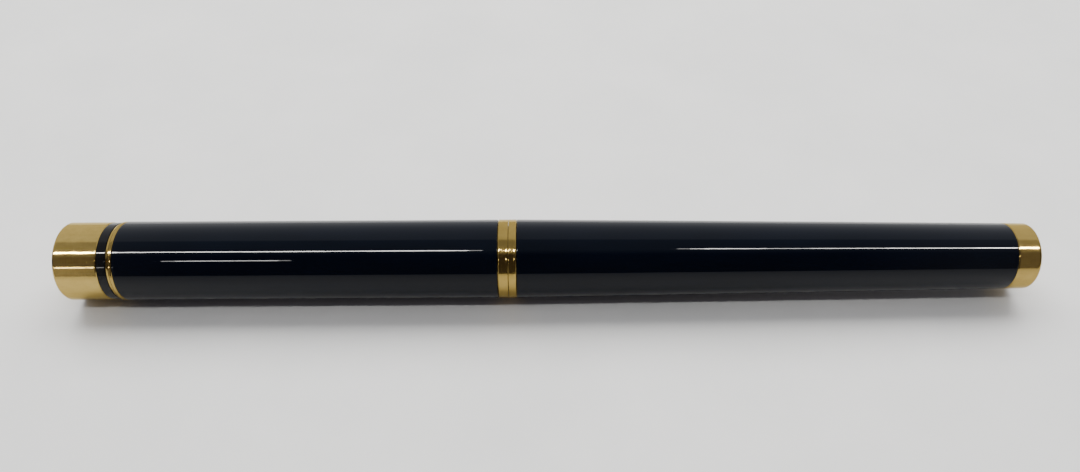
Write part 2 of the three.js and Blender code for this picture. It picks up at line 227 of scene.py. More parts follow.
def split_ring(name, outline, slit, sides=SIDES):
    """A ring with a slit in it: an outline carried round the X axis through all but the slit.

    The slit is the gap's angle, centred on +Y. Each end is closed by the outline itself.
    """
    outline = clockwise(np.asarray(outline, float))
    x, r = outline.T
    a = np.linspace(slit / 2, 2 * math.pi - slit / 2, sides)
    x, r, a = np.broadcast_arrays(x[:, None], r[:, None], a[None, :])
    points = np.stack((x, r * np.cos(a), r * np.sin(a)), axis=-1) * MM
    faces = grid_faces(*x.shape, True, False).reshape(-1, 4).tolist()
    row = np.arange(len(outline)) * sides
    ends = [row.tolist(), (row + sides - 1)[::-1].tolist()]
    return mesh_object(name, points.reshape(-1, 3), faces + ends)


def slotted_tube(name, outline, bore, slot, sides=SIDES):
    """A tube with a rectangular slot through its wall.

    The outside is a grid of stations and angles, and the inside is the same grid at the bore's
    radius, so the two match cell by cell. Cells inside the slot (station and angle limits) are
    left out of both, and the open edges of the two sheets are joined by the slot's four walls. The
    inner angles are spread round the slot until its two long sides stand as far apart at the bore
    as at the outside, and the spread fades to nothing on the far side of the tube.
    """
    x, r = outline.T
    a = np.unique(np.append(np.arange(sides) * 2 * math.pi / sides, np.mod(slot[1], 2 * math.pi)))
    x = np.unique(np.append(x, slot[0]))
    r = np.interp(x, *outline.T)
    rows, columns = len(x), len(a)
    xs, aa = np.meshgrid(x, a, indexing="ij")
    outer = np.stack((xs, r[:, None] * np.cos(aa), r[:, None] * np.sin(aa)), axis=-1)
    half = (slot[1][1] - slot[1][0]) / 2
    off = np.mod(aa - slot[1][0] - half + math.pi, 2 * math.pi) - math.pi
    wider = math.asin(math.sin(half) * r.max() / bore) - half
    share = np.where(np.abs(off) < half, np.abs(off) / half, (math.pi - np.abs(off)) / (math.pi - half))
    spread = aa + np.sign(off) * share * wider
    inner = np.stack((xs, bore * np.cos(spread), bore * np.sin(spread)), axis=-1)
    cells = grid_faces(rows, columns, False, True)
    middle_x = (x[:-1] + x[1:]) / 2
    step = np.mod(np.roll(a, -1) - a, 2 * math.pi)
    middle_a = np.mod(a + step / 2, 2 * math.pi)
    low_a, high_a = np.mod(slot[1], 2 * math.pi)
    in_slot = ((middle_x > slot[0][0]) & (middle_x < slot[0][1]))[:, None] & \
        ((middle_a > low_a) & (middle_a < high_a))[None, :]
    skin = cells[~in_slot]
    count = rows * columns
    edges = np.stack((skin, np.roll(skin, -1, axis=1)), axis=-1).reshape(-1, 2)
    there = edges[:, 0] * count + edges[:, 1]
    back = edges[:, 1] * count + edges[:, 0]
    rim = edges[~np.isin(back, there)]
    walls = np.stack((rim[:, 1], rim[:, 0], rim[:, 0] + count, rim[:, 1] + count), axis=-1)
    faces = np.concatenate((skin, skin[:, ::-1] + count, walls))
    vertices = np.vstack((outer.reshape(-1, 3), inner.reshape(-1, 3))) * MM
    return mesh_object(name, vertices, faces.tolist())


def swept(name, path, half_wide, half_thick, square, sides=40):
    """A strip carried along a path in the plane through the pen's axis.

    path holds (x, u) points, u being the height above the axis. At each one a section is set
    across the path: a superellipse of the given half width and half thickness, whose exponent
    square makes it squarer as it falls below 1. The first and last sections close on one point.
    """
    path = np.asarray(path, float)
    along = np.gradient(path, axis=0)
    along /= np.linalg.norm(along, axis=1)[:, None]
    across = np.stack((-along[:, 1], along[:, 0]), axis=1)
    a = np.arange(sides) * 2 * math.pi / sides
    high, broad = np.sin(a), np.cos(a)
    up = half_thick[:, None] * (np.sign(high) * np.abs(high) ** square)[None, :]
    side = half_wide[:, None] * (np.sign(broad) * np.abs(broad) ** square)[None, :]
    x = path[:, 0, None] + across[:, 0, None] * up
    u = path[:, 1, None] + across[:, 1, None] * up
    points = np.stack((x, u, side), axis=-1)
    rows = len(path)
    ring = points.reshape(-1, 3)
    caps = np.stack(((path[0, 0], path[0, 1], 0.0), (path[-1, 0], path[-1, 1], 0.0)))
    faces = grid_faces(rows, sides, False, True).reshape(-1, 4)[:, ::-1].tolist()
    j = np.arange(sides)
    nxt = (j + 1) % sides
    last = (rows - 1) * sides
    first_fan = np.stack((np.full(sides, len(ring)), j, nxt), axis=-1)
    last_fan = np.stack((np.full(sides, len(ring) + 1), last + nxt, last + j), axis=-1)
    vertices = np.vstack((ring, caps)) * MM
    turn = np.array(Matrix.Rotation(-TURN_TO_CLIP, 3, "X"))
    return mesh_object(name, vertices @ turn.T, faces + first_fan.tolist() + last_fan.tolist())


def coiled_wire(name, x0, x1, coil_r, wire_r, turns, sides=14):
    """A coil spring: a circle of the wire's radius carried along a helix about the X axis.

    Over the first and the last turn the pitch grows from nothing, so the spring's ends lie flat.
    """
    t = np.linspace(0, 1, int(48 * turns))
    ease = 0.5 / turns
    lift = np.interp(t, [0, ease, 1 - ease, 1], [0, 0.06, 0.94, 1])
    x = x0 + wire_r + (x1 - x0 - 2 * wire_r) * lift
    angle = 2 * math.pi * turns * t
    out = np.stack((np.zeros_like(t), np.cos(angle), np.sin(angle)), axis=-1)
    centre = out * coil_r
    centre[:, 0] = x
    ahead = np.gradient(centre, axis=0)
    ahead /= np.linalg.norm(ahead, axis=1)[:, None]
    side = np.cross(ahead, out)
    a = np.arange(sides) * 2 * math.pi / sides
    points = centre[:, None] + wire_r * (np.cos(a)[None, :, None] * out[:, None]
                                         + np.sin(a)[None, :, None] * side[:, None])
    faces = grid_faces(len(t), sides, False, True).reshape(-1, 4).tolist()
    ends = [np.arange(sides)[::-1].tolist(), ((len(t) - 1) * sides + np.arange(sides)).tolist()]
    return mesh_object(name, points.reshape(-1, 3) * MM, faces + ends)


# ---------------------------------------------------------------- finishes

def finish(name, **sockets):
    """A new material whose shader sockets are set as stated; returns it with a wiring helper."""
    material = bpy.data.materials.new(name)
    material.use_nodes = True
    shader = material.node_tree.nodes["Principled BSDF"]
    for socket, value in sockets.items():
        shader.inputs[socket.replace("_", " ")].default_value = value
    return material, Wiring(material.node_tree, shader)


def worked(tree, operation, a, b=None):
    """The result of a maths node on two outputs or numbers."""
    node = tree.nodes.new("ShaderNodeMath")
    node.operation = operation
    for socket, value in zip(node.inputs, (a, b)):
        if isinstance(value, (int, float)):
            socket.default_value = value
        elif value is not None:
            tree.links.new(value, socket)
    return node.outputs["Value"]


class Wiring:
    """Adds pattern nodes to one material."""

    def __init__(self, tree, shader):
        self.tree = tree
        self.shader = shader
        self.place = tree.nodes.new("ShaderNodeTexCoord").outputs["Object"]

    def link(self, a, b):
        """Joins an output to an input."""
        self.tree.links.new(a, b)

    def noise(self, per_mm, detail=3.0, rough=0.55):
        """Noise with its own grain along x, y and z, in features per millimetre."""
        mapping = self.tree.nodes.new("ShaderNodeMapping")
        mapping.inputs["Scale"].default_value = [v / MM for v in per_mm]
        noise = self.tree.nodes.new("ShaderNodeTexNoise")
        noise.inputs["Scale"].default_value = 1.0
        noise.inputs["Detail"].default_value = detail
        noise.inputs["Roughness"].default_value = rough
        self.link(self.place, mapping.inputs["Vector"])
        self.link(mapping.outputs["Vector"], noise.inputs["Vector"])
        return noise.outputs["Fac"]

    def rings(self, per_mm, wander=0.3, detail=2.0):
        """Noise that runs round the pen in rings, along its sides and across its end faces.

        It is read at (distance along, distance from the axis), with a slow change across the pen.
        """
        split = self.tree.nodes.new("ShaderNodeSeparateXYZ")
        self.link(self.place, split.inputs[0])
        square = self.math("ADD", self.math("POWER", split.outputs["Y"], 2.0),
                           self.math("POWER", split.outputs["Z"], 2.0))
        join = self.tree.nodes.new("ShaderNodeCombineXYZ")
        self.link(self.math("MULTIPLY", split.outputs["X"], per_mm / MM), join.inputs["X"])
        self.link(self.math("MULTIPLY", self.math("SQRT", square), per_mm / MM), join.inputs["Y"])
        self.link(self.math("MULTIPLY", split.outputs["Z"], wander / MM), join.inputs["Z"])
        noise = self.tree.nodes.new("ShaderNodeTexNoise")
        noise.inputs["Scale"].default_value = 1.0
        noise.inputs["Detail"].default_value = detail
        self.link(join.outputs["Vector"], noise.inputs["Vector"])
        return noise.outputs["Fac"]

    def spread(self, value, low, high, from_low=0.3, from_high=0.7):
        """The value stretched to run from low to high."""
        node = self.tree.nodes.new("ShaderNodeMapRange")
        node.inputs["From Min"].default_value = from_low
        node.inputs["From Max"].default_value = from_high
        node.inputs["To Min"].default_value = low
        node.inputs["To Max"].default_value = high
        self.link(value, node.inputs["Value"])
        return node.outputs["Result"]

    def math(self, operation, a, b=None):
        """Two patterns, or a pattern and a number, put together."""
        return worked(self.tree, operation, a, b)

    def roughness(self, value):
        """Lets a pattern set how dull the surface is."""
        self.link(value, self.shader.inputs["Roughness"])

    def colour(self, value, first, second, painted_shade=None):
        """Base colour running between two colours with the value, and, where a shade mask is given, darkened
        towards a near-black colour as painted shade.
        """
        ramp = self.tree.nodes.new("ShaderNodeValToRGB")
        ramp.color_ramp.elements[0].position, ramp.color_ramp.elements[1].position = 0.3, 0.7
        ramp.color_ramp.elements[0].color = (*first, 1)
        ramp.color_ramp.elements[1].color = (*second, 1)
        self.link(value, ramp.inputs["Fac"])
        result = ramp.outputs["Color"]
        # painted shade: the colour is mixed towards a near-black one by the mask
        if painted_shade is not None:
            mix = self.tree.nodes.new("ShaderNodeMix")
            mix.data_type = "RGBA"
            mix.inputs["B"].default_value = JOINT_SHADE_COLOUR
            self.link(painted_shade, mix.inputs["Factor"])
            self.link(result, mix.inputs["A"])
            result = mix.outputs["Result"]
        self.link(result, self.shader.inputs["Base Color"])

    # Mask for the painted shade in the joints.
    def along(self):
        """1 on faces that look along the pen, 0 on its sides."""
        coordinates = self.tree.nodes.new("ShaderNodeTexCoord")
        split = self.tree.nodes.new("ShaderNodeSeparateXYZ")
        self.link(coordinates.outputs["Normal"], split.inputs[0])
        return self.spread(self.math("ABSOLUTE", split.outputs["X"]), 0.0, 1.0, 0.85, 0.95)

    def bump(self, value, depth_mm, coat=False):
        """Relief of the given depth in millimetres."""
        node = self.tree.nodes.new("ShaderNodeBump")
        node.inputs["Strength"].default_value = 1.0
        node.inputs["Distance"].default_value = depth_mm * MM
        self.link(value, node.inputs["Height"])
        self.link(node.outputs["Normal"], self.shader.inputs["Normal"])
        if coat:
            self.link(node.outputs["Normal"], self.shader.inputs["Coat Normal"])


LACQUER_IOR = 1.262
EDGE_GOLD = (0.92, 0.84, 0.62, 1)         # gold seen at a glancing angle
# Near-black colour painted on the faces in the joints: painted shade, where little light reaches
JOINT_SHADE_COLOUR = (0.012, 0.009, 0.006, 1)


def lacquer_finish():
    """Deep blue-black lacquer: a clear gloss with faint orange peel, dust and polishing streaks."""
    material, w = finish("blue_black_lacquer", Specular_IOR_Level=0.0, Coat_Weight=1.0, Coat_Roughness=0.02,
                         Coat_IOR=LACQUER_IOR)
    w.roughness(w.spread(w.noise((0.25, 0.6, 0.6)), 0.2, 0.4))
    w.colour(w.noise((0.08, 0.3, 0.3)), (0.0008, 0.0018, 0.0048), (0.0012, 0.0026, 0.0068))
    peel = w.spread(w.noise((0.4, 0.7, 0.7), 2), 0.0, 1.0)
    streaks = w.spread(w.noise((0.12, 9, 9), 2), 0.0, 0.22)
    w.bump(w.math("ADD", peel, streaks), 0.0005, coat=True)
    return material


def gold_finish(name, light, deep, rough, grain, marks_mm, joint_shade=False):
    """Warm polished gold plate: soft colour clouds, fine lathe marks and small handling scratches.

    Where the joint flag is set, the faces that look along the pen are darkened towards a near-black colour:
    painted shade in the joints between pieces, where little light reaches.
    """
    material, w = finish(name, Metallic=1.0, Specular_Tint=EDGE_GOLD)
    tone = w.noise((0.5 * grain, 0.8 * grain, 0.8 * grain), 4)
    # painted shade on the faces that look along the pen, where the pieces meet
    w.colour(tone, deep, light, w.along() if joint_shade else None)
    w.roughness(w.spread(w.noise((1.2 * grain, 2.4 * grain, 2.4 * grain), 4), *rough))
    rings = w.spread(w.rings(9.0), 0.0, 0.8)
    scratches = w.spread(w.noise((2.2, 5.0, 5.0), 5, 0.7), 0.0, 0.8)
    w.bump(w.math("ADD", rings, scratches), marks_mm)
    return material


def moulded_finish(name, dark, light, rough, gloss=0.0, depth=0.002):
    """Moulded plastic or rubber: cloudy tone, uneven gloss and a fine skin."""
    level = 0.0 if gloss else 0.4
    material, w = finish(name, Specular_IOR_Level=level, Coat_Weight=gloss, Coat_Roughness=0.03,
                         Coat_IOR=LACQUER_IOR)
    w.colour(w.noise((0.3, 0.3, 0.3), 3), dark, light)
    w.roughness(w.spread(w.noise((2, 2, 2), 4), rough * 0.75, rough * 1.3))
    w.bump(w.noise((3.5, 3.5, 3.5), 4), depth, coat=gloss > 0)
    return material


def machined_finish(name, dark, light, rough, marks=9.0, depth=0.004):
    """Turned metal: ring-shaped tool marks round the axis over a slightly stained tone."""
    material, w = finish(name, Metallic=1.0)
    w.colour(w.noise((0.4, 0.6, 0.6), 4), dark, light)
    rings = w.rings(marks * 0.6, detail=3)
    w.roughness(w.spread(rings, *rough))
    w.bump(rings, depth)
    return material


def fibre_finish():
    """Ink-soaked fibre bundle: fine strands along the pen."""
    material, w = finish("inked_fibre")
    strands = w.noise((0.1, 8, 8), 4)
    w.colour(strands, (0.004, 0.006, 0.02), (0.03, 0.045, 0.11))
    w.roughness(w.spread(strands, 0.7, 0.95))
    w.bump(strands, 0.03)
    return material


LACQUER = lacquer_finish()
GOLD = gold_finish("polished_gold_plate", light=(0.390, 0.278, 0.084), deep=(0.345, 0.240, 0.070),
                   rough=(0.05, 0.15), grain=1.0, marks_mm=0.0012)
# The bands' gold, with painted shade on the faces at their joints
BAND_GOLD = gold_finish("band_gold_plate", light=(0.405, 0.284, 0.080), deep=(0.355, 0.244, 0.064),
                        rough=(0.05, 0.16), grain=1.4, marks_mm=0.0016, joint_shade=True)
CROWN_GOLD = gold_finish("crown_gold_plate", light=(0.450, 0.326, 0.100), deep=(0.395, 0.280, 0.082),
                         rough=(0.04, 0.11), grain=1.8, marks_mm=0.0016)
GLOSS_BLACK = moulded_finish("gloss_black_plastic", (0.0035, 0.0035, 0.004), (0.006, 0.006, 0.007), 0.3,
                             gloss=1.0, depth=0.0006)
LINER_BLACK = moulded_finish("satin_black_plastic", (0.010, 0.010, 0.011), (0.020, 0.020, 0.021), 0.38)
SEAL_RUBBER = moulded_finish("seal_rubber", (0.008, 0.008, 0.008), (0.02, 0.02, 0.019), 0.62, depth=0.006)
WHITE_PLASTIC = moulded_finish("white_plastic", (0.66, 0.66, 0.63), (0.76, 0.76, 0.73), 0.36)
BRASS = machined_finish("turned_brass", (0.46, 0.32, 0.13), (0.62, 0.45, 0.20), (0.2, 0.36))
STEEL = machined_finish("bright_steel", (0.50, 0.51, 0.53), (0.66, 0.67, 0.69), (0.14, 0.28), depth=0.002)
REFILL_STEEL = machined_finish("satin_refill_tube", (0.46, 0.47, 0.49), (0.58, 0.59, 0.61), (0.28, 0.42),
                               marks=4.0)
CARBIDE = machined_finish("ball_carbide", (0.40, 0.40, 0.42), (0.55, 0.55, 0.57), (0.1, 0.18), marks=20,
                          depth=0.0005)
FIBRE = fibre_finish()


# ---------------------------------------------------------------- placing a piece

def fit_out(piece, body, node, material):
    """Rides a piece on its body in place of its CAD node, with its finish."""
    piece.data.materials.append(material)
    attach(piece, body)
    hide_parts(node)
    return piece


# ---------------------------------------------------------------- cap

def build_crown():
    """Crown: a gold disc with a flat end, a small chamfer at its rim and a shallow cone behind that."""
    x1, r = end("cap_crown"), radius("cap_crown")
    bore_from = x1 - CROWN_BORE_DEPTH
    rim = [(0, r - 0.13, 0.03), (0.04, r - 0.09, 0.02), (0.25, r, 0.04)]
    outline = rounded([(0, 0), *rim, (x1 - 0.1, r, 0.03), (x1, r - 0.1, 0.03), (x1, STACK_BORE),
                       (bore_from, STACK_BORE), (bore_from, 0)])
    fit_out(turned("crown", outline), "cap", "cap_crown", CROWN_GOLD)


def build_spacer():
    """Spacer: glossy black ring in a shallow recess between the crown and the gold ring."""
    x0, x1, r = start("crown_spacer"), end("crown_spacer"), radius("crown_spacer")
    fit_out(turned("spacer_ring", sleeve(x0, x1, STACK_BORE, r, 0.06)), "cap", "crown_spacer",
            GLOSS_BLACK)


def build_crown_ring():
    """Gold ring at the head of the cap: a bright cone, a fine groove and a rounded bead."""
    x0, x1, r = start("crown_ring"), end("crown_ring"), CAP_R
    groove = x0 + 0.4
    outline = rounded([
        (x0, STACK_BORE), (x0, r - 0.18, 0.04), (groove - 0.04, r - 0.03, 0.05), (groove, r - 0.09, 0.02),
        (groove + 0.06, r - 0.01, 0.04), (x1 - 0.1, r - 0.01, 0.05), (x1, r - 0.1, 0.03), (x1, STACK_BORE),
    ], steps=3)
    fit_out(turned("crown_gold_ring", outline), "cap", "crown_ring", GOLD)


def build_cap_tube():
    """Cap tube: a plain lacquered tube with softly rounded ends and the clip's slot in its wall."""
    x0, x1 = start("cap_tube"), end("cap_tube")
    t = np.linspace(0, 1, 7)
    shoulder = 0.12
    nose = np.stack((x0 + shoulder * t, CAP_R - shoulder + shoulder * np.sqrt(1 - (1 - t) ** 2)), axis=-1)
    body = np.stack((np.linspace(x0 + 2 * shoulder, x1 - 2 * shoulder, 40), np.full(40, CAP_R)), axis=-1)
    tail = nose[::-1] * (-1, 1) + (x0 + x1, 0)
    clip_from, half_slot = start("clip"), 1.58 / CAP_R
    slot = ((clip_from + 0.40, clip_from + 1.54), (-TURN_TO_CLIP - half_slot, -TURN_TO_CLIP + half_slot))
    shell = slotted_tube("cap_shell", np.vstack((nose, body, tail)), CAP_BORE, slot)
    fit_out(shell, "cap", "cap_tube", LACQUER)


def band_outline(x0, x1, bore, bevel0, bevel1):
    """Outline of a gold band: a bevel at each edge and a middle that lies a hair lower."""
    r, step, dip = BAND_R, 0.16, 0.02
    return [(x0, bore), (x0, r - bevel0, 0.02), (x0 + bevel0, r, 0.04), (x0 + bevel0 + step, r, 0.05),
            (x0 + bevel0 + 1.6 * step, r - dip, 0.05), (x1 - bevel1 - 1.6 * step, r - dip, 0.05),
            (x1 - bevel1 - step, r, 0.05), (x1 - bevel1, r, 0.04), (x1, r - bevel1, 0.02), (x1, bore)]


def build_lip_band():
    """Lip band: the gold ring at the cap's mouth, with the spigot and bead inside the cap."""
    x1 = end("cap_lip_band") + SPLIT_TRIM
    band_from = end("cap_tube") + SEAT
    spigot = start("cap_lip_band")
    bead = end("snap_ring") + RUN
    ring = band_outline(band_from, x1, LIP_BORE, 0.12, 0.04)
    bead_r = LIP_BORE - 0.07
    inside = [(x1 - 0.03, LIP_BORE, 0.06), (bead + 0.75, LIP_BORE, 0.05), (bead + 0.6, bead_r, 0.05),
              (bead, bead_r, 0.05), (bead - 0.1, LIP_BORE, 0.05), (spigot, LIP_BORE, 0.05),
              (spigot, CAP_BORE - SEAT, 0.08), (band_from, CAP_BORE - SEAT)]
    band = turned("lip_band", rounded(ring[1:-1] + inside, steps=3))
    fit_out(band, "cap", "cap_lip_band", BAND_GOLD)


def build_inner_cap():
    """Inner cap: the plastic liner, closed at the crown's end, with a funnel at its mouth."""
    x0, x1, r = start("inner_cap"), end("inner_cap"), radius("inner_cap")
    bore, floor = r - LINER_WALL, x0 + 1.05
    outline = rounded([(x0, STACK_BORE, 0.1), (x0, r, 0.15), (x1, r, 0.05), (x1, bore + 0.3, 0.05),
                       (x1 - 0.5, bore, 0.2), (floor, bore, 0.5), (floor, STACK_BORE, 0.1)])
    fit_out(turned("inner_cap_liner", outline), "cap", "inner_cap", LINER_BLACK)


def build_clip():
    """Clip: a gold strip that comes out of the cap's wall, bends along it and ends in a turned-up toe.

    Its middle line goes straight out, round a bend, along the cap, dips until the toe bears on the
    cap, and rises again. The strip narrows evenly towards the toe. Over the last stretch its half
    width is multiplied by a quarter circle's height, and its half thickness by the square root of
    that, which rounds the toe off; the sections stand closer together there.
    """
    x0, x1 = start("clip"), end("clip")
    thick, wide = 0.45, 1.5
    high = CAP_R + 2.0 - thick
    bear = CAP_R + 0.06 + thick
    line = rounded([(x0 + 1.0, CAP_BORE - 0.85), (x0 + 1.0, high, 1.5), (x1 - 6.4, high, 3.0),
                    (x1 - 3.0, bear, 2.4), (x1 - 0.42, bear + 0.95)], steps=14)
    line = line[:np.argmax(line[:, 0]) + 1]
    walked = np.append(0, np.cumsum(np.linalg.norm(np.diff(line, axis=0), axis=1)))
    total, fine, rounding = walked[-1], 1.2, 1.1
    ease = 1 - np.sin(np.linspace(0, math.pi / 2, 14))
    s = np.unique(np.concatenate((np.linspace(0, total - fine, 110), total - fine * ease)))
    path = np.stack((np.interp(s, walked, line[:, 0]), np.interp(s, walked, line[:, 1])), axis=-1)
    toe = np.sqrt(np.clip(1 - np.clip((s - total + rounding) / rounding, 0, 1) ** 2, 0.004, 1))
    half_wide = np.interp(s, [0, 6, total], [wide, wide, 1.12]) * toe
    half_thick = np.interp(s, [0, 4, total], [thick, thick, 0.4]) * np.sqrt(toe)
    strip = swept("pocket_clip", path, half_wide, half_thick, 0.42, sides=64)
    fit_out(strip, "clip", "clip", GOLD)


# ---------------------------------------------------------------- section

def build_grip():
    """Grip section: lacquered, waisted towards the front, with the snap ring's groove near its root.

    From front to back the radius grows along the curve 3s^2 - 2s^3, which is level at both ends.
    """
    x0, x1 = start("grip_section"), end("grip_section")
    groove0, groove1, floor = start("snap_ring") - RUN, end("snap_ring") + RUN, GRIP_R - 0.5
    s = np.linspace(0, 1, 24)
    waist = GRIP_FRONT_R + (GRIP_R - GRIP_FRONT_R) * (3 * s ** 2 - 2 * s ** 3)
    front = [(x0 + 0.15 + 12.8 * a, b) for a, b in zip(s, waist)]
    groove = [(groove0 - 0.1, GRIP_R, 0.08), (groove0, GRIP_R - 0.1, 0.05), (groove0, floor, 0.08),
              (groove1, floor, 0.08), (groove1, GRIP_R - 0.1, 0.05), (groove1 + 0.1, GRIP_R, 0.08)]
    corners = [(x0, SPIGOT_R + SEAT, 0.05), (x0, GRIP_FRONT_R - 0.1, 0.08), *front, *groove,
               (x1, GRIP_R, 0.15), (x1, SPIGOT_R + SEAT, 0.05)]
    fit_out(turned("grip", rounded(corners, steps=3)), "section", "grip_section", LACQUER)


def build_grip_ring():
    """Trim ring: a narrow rounded gold bead between the grip and the nozzle."""
    outline = sleeve(start("grip_ring"), end("grip_ring"), SPIGOT_R + SEAT, radius("grip_ring"), 0.25)
    fit_out(turned("front_trim_ring", outline), "section", "grip_ring", GOLD)


def build_nozzle():
    """Nozzle: a gold cone whose side swells slightly, with a rounded mouth for the refill's tip.

    The radius grows in a straight line from the mouth to the shoulder, plus a swell of the product
    of the two distances to the ends.
    """
    x0, shoulder, x1 = start("nozzle"), start("grip_ring") - SEAT, end("nozzle")
    tip_bore, mouth = TIP_R + RUN, TIP_R + 0.6
    seat, back = start("refill_nose") - RUN, start("refill_tube") - RUN
    s = np.linspace(0, 1, 16)[1:]
    swell = 0.75 * s * (1 - s)
    side = np.stack((x0 + (shoulder - x0) * s, mouth + (GRIP_FRONT_R - mouth) * s + swell), axis=-1)
    bore = SPIGOT_R - SPIGOT_WALL
    corners = [(x0, tip_bore, 0.06), (x0, mouth - 0.1, 0.12), *side.tolist(), (shoulder, SPIGOT_R),
               (x1, SPIGOT_R, 0.08), (x1, bore, 0.05), (back, bore), (seat, mouth), (seat, tip_bore)]
    fit_out(turned("nozzle_cone", rounded(corners)), "section", "nozzle", GOLD)


def thread_relief(x0, x1, pitch, depth):
    """A thread: the radius falls by up to the depth in a triangle wave that advances one pitch a turn.

    The wave is faded out over half a pitch at each end.
    """
    def relief(x, r, a):
        phase = np.mod(x / pitch - a / (2 * math.pi), 1.0)
        wave = np.clip(1.35 * np.abs(2 * phase - 1) - 0.15, 0, 1)
        inside = np.clip(np.minimum(x - x0, x1 - x) / (pitch / 2), 0, 1)
        return -depth * wave * inside * (r > THREAD_R - 0.01)
    return relief


def build_nipple():
    """Nipple: a brass tube, threaded where it screws into the barrel and plain behind that."""
    x0, x1 = start("section_nipple"), end("section_nipple")
    root = end("grip_section") + SEAT
    bore, plain_r = REFILL_R + 0.15, THREAD_R - 0.12
    thread0, thread1 = root + 1.2, root + 7.7
    crest = [(x, THREAD_R) for x in np.arange(thread0, thread1, THREAD_PITCH / 14)]
    corners = [(x0, bore, 0.05), (x0, SPIGOT_R, 0.08), (root, SPIGOT_R), (root, THREAD_R, 0.08), *crest,
               (thread1 + 0.2, THREAD_R, 0.05), (thread1 + 0.3, plain_r, 0.05), (x1, plain_r, 0.2),
               (x1, bore, 0.05)]
    relief = thread_relief(thread0, thread1, THREAD_PITCH, THREAD_DEPTH)
    nipple = turned("threaded_nipple", rounded(corners, steps=3), relief=relief)
    fit_out(nipple, "section", "section_nipple", BRASS)


def build_seal_and_snap_ring():
    """Sealing ring: a round-cornered rubber washer. Snap ring: a split, round-edged steel ring."""
    r = radius("sealing_ring") - 0.02
    seal = turned("rubber_seal", sleeve(start("sealing_ring"), end("sealing_ring"), THREAD_R + SEAT, r, 0.2))
    fit_out(seal, "seal", "sealing_ring", SEAL_RUBBER)

    outline = sleeve(start("snap_ring"), end("snap_ring"), GRIP_R - 0.4, radius("snap_ring"), 0.22)
    fit_out(split_ring("split_snap_ring", outline, slit=0.2), "catch", "snap_ring", STEEL)


# ---------------------------------------------------------------- barrel

def build_barrel_tube():
    """Barrel tube: a very slightly swollen cone, lacquered, with rounded ends.

    The radius falls in a straight line from mouth to tail, plus a swell of the product of the two
    distances to the ends.
    """
    x0, x1 = start("barrel_tube"), end("barrel_tube")
    s = np.linspace(0, 1, 48)
    swell = 0.11 * s * (1 - s)
    skin = np.stack((x0 + (x1 - x0) * s, CAP_R + (TAIL_R - CAP_R) * s + swell), axis=-1)
    bush_end = end("barrel_bush") + SEAT
    corners = [(x0, CAP_BORE), (x0, CAP_R, 0.1), *skin[1:-1].tolist(), (x1, TAIL_R, 0.1),
               (x1, TAIL_R - BARREL_WALL), (bush_end, CAP_BORE - 0.15), (bush_end, CAP_BORE)]
    shell = turned("barrel_shell", rounded(corners, steps=4))
    fit_out(shell, "barrel", "barrel_tube", LACQUER)


def build_barrel_band():
    """Barrel band: the gold ring that meets the cap's lip."""
    x0, x1 = start("barrel_band"), end("barrel_band")
    outline = band_outline(x0 - SPLIT_TRIM, x1, THREAD_R + 0.15, 0.04, 0.12)
    fit_out(turned("mouth_band", rounded(outline, steps=3)), "barrel", "barrel_band", BAND_GOLD)


def build_bush():
    """Bush: a brass tube in the barrel's mouth, bored for the nipple."""
    outline = sleeve(start("barrel_bush"), end("barrel_bush"), THREAD_R + RUN, radius("barrel_bush"), 0.15)
    fit_out(turned("brass_bush", outline), "barrel", "barrel_bush", BRASS)


def build_tail():
    """Tail cap: a gold cap with a narrow bevelled lip against the lacquer and a well rounded rim."""
    x0, x1 = start("tail_cap"), end("tail_cap")
    bore, floor = radius("tail_plug") - 0.25, end("tail_plug") + SEAT
    outline = rounded([(x0, bore), (x0, TAIL_R - 0.07, 0.02), (x0 + 0.12, TAIL_R - 0.005, 0.05),
                       (x1, TAIL_R - 0.05, 0.5), (x1, 0), (floor, 0), (floor, bore)], steps=7)
    fit_out(turned("tail_finial", outline), "barrel", "tail_cap", GOLD)


def build_spring():
    """Refill spring: a steel coil between the refill's end and the tail plug.
    """
    x0, x1 = start("refill_spring"), end("refill_spring")
    wire, give = 0.25, 1.2
    spring = coiled_wire("coil_spring", x0, x1, radius("refill_spring") - wire, wire * 0.96, 4)
    fit_out(spring, "barrel", "refill_spring", STEEL)
    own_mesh(spring)


# ---------------------------------------------------------------- refill

